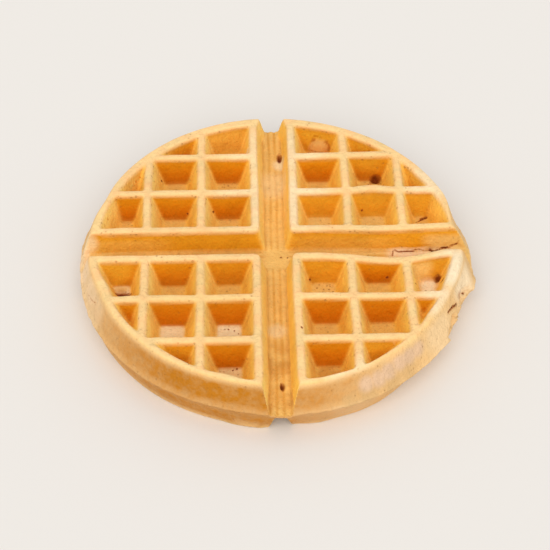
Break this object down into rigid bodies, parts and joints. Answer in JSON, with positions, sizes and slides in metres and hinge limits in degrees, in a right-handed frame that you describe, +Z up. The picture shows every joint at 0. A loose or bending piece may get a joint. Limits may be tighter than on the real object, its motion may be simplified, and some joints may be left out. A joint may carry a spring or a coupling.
{
  "type": "waffle",
  "caption": "Round thick waffle with deep square pockets on both faces, parted into quarters by a cross of wide grooves, with a rounded rim and a drafted edge.",
  "frame": {"origin": "middle of the outline's box, at the lowest rib tops that the waffle rests on", "axes": "+Z up out of the shown face; +X and +Y along the two grooves of the cross"},
  "size_m": [0.178, 0.1784, 0.0275],
  "materials": {
    "baked_crust": "matt baked batter, pale cream on the rib tops and golden brown on the pocket walls"
  },
  "bodies": {
    "root": {"waffle": "baked_crust"}
  },
  "joints": []
}
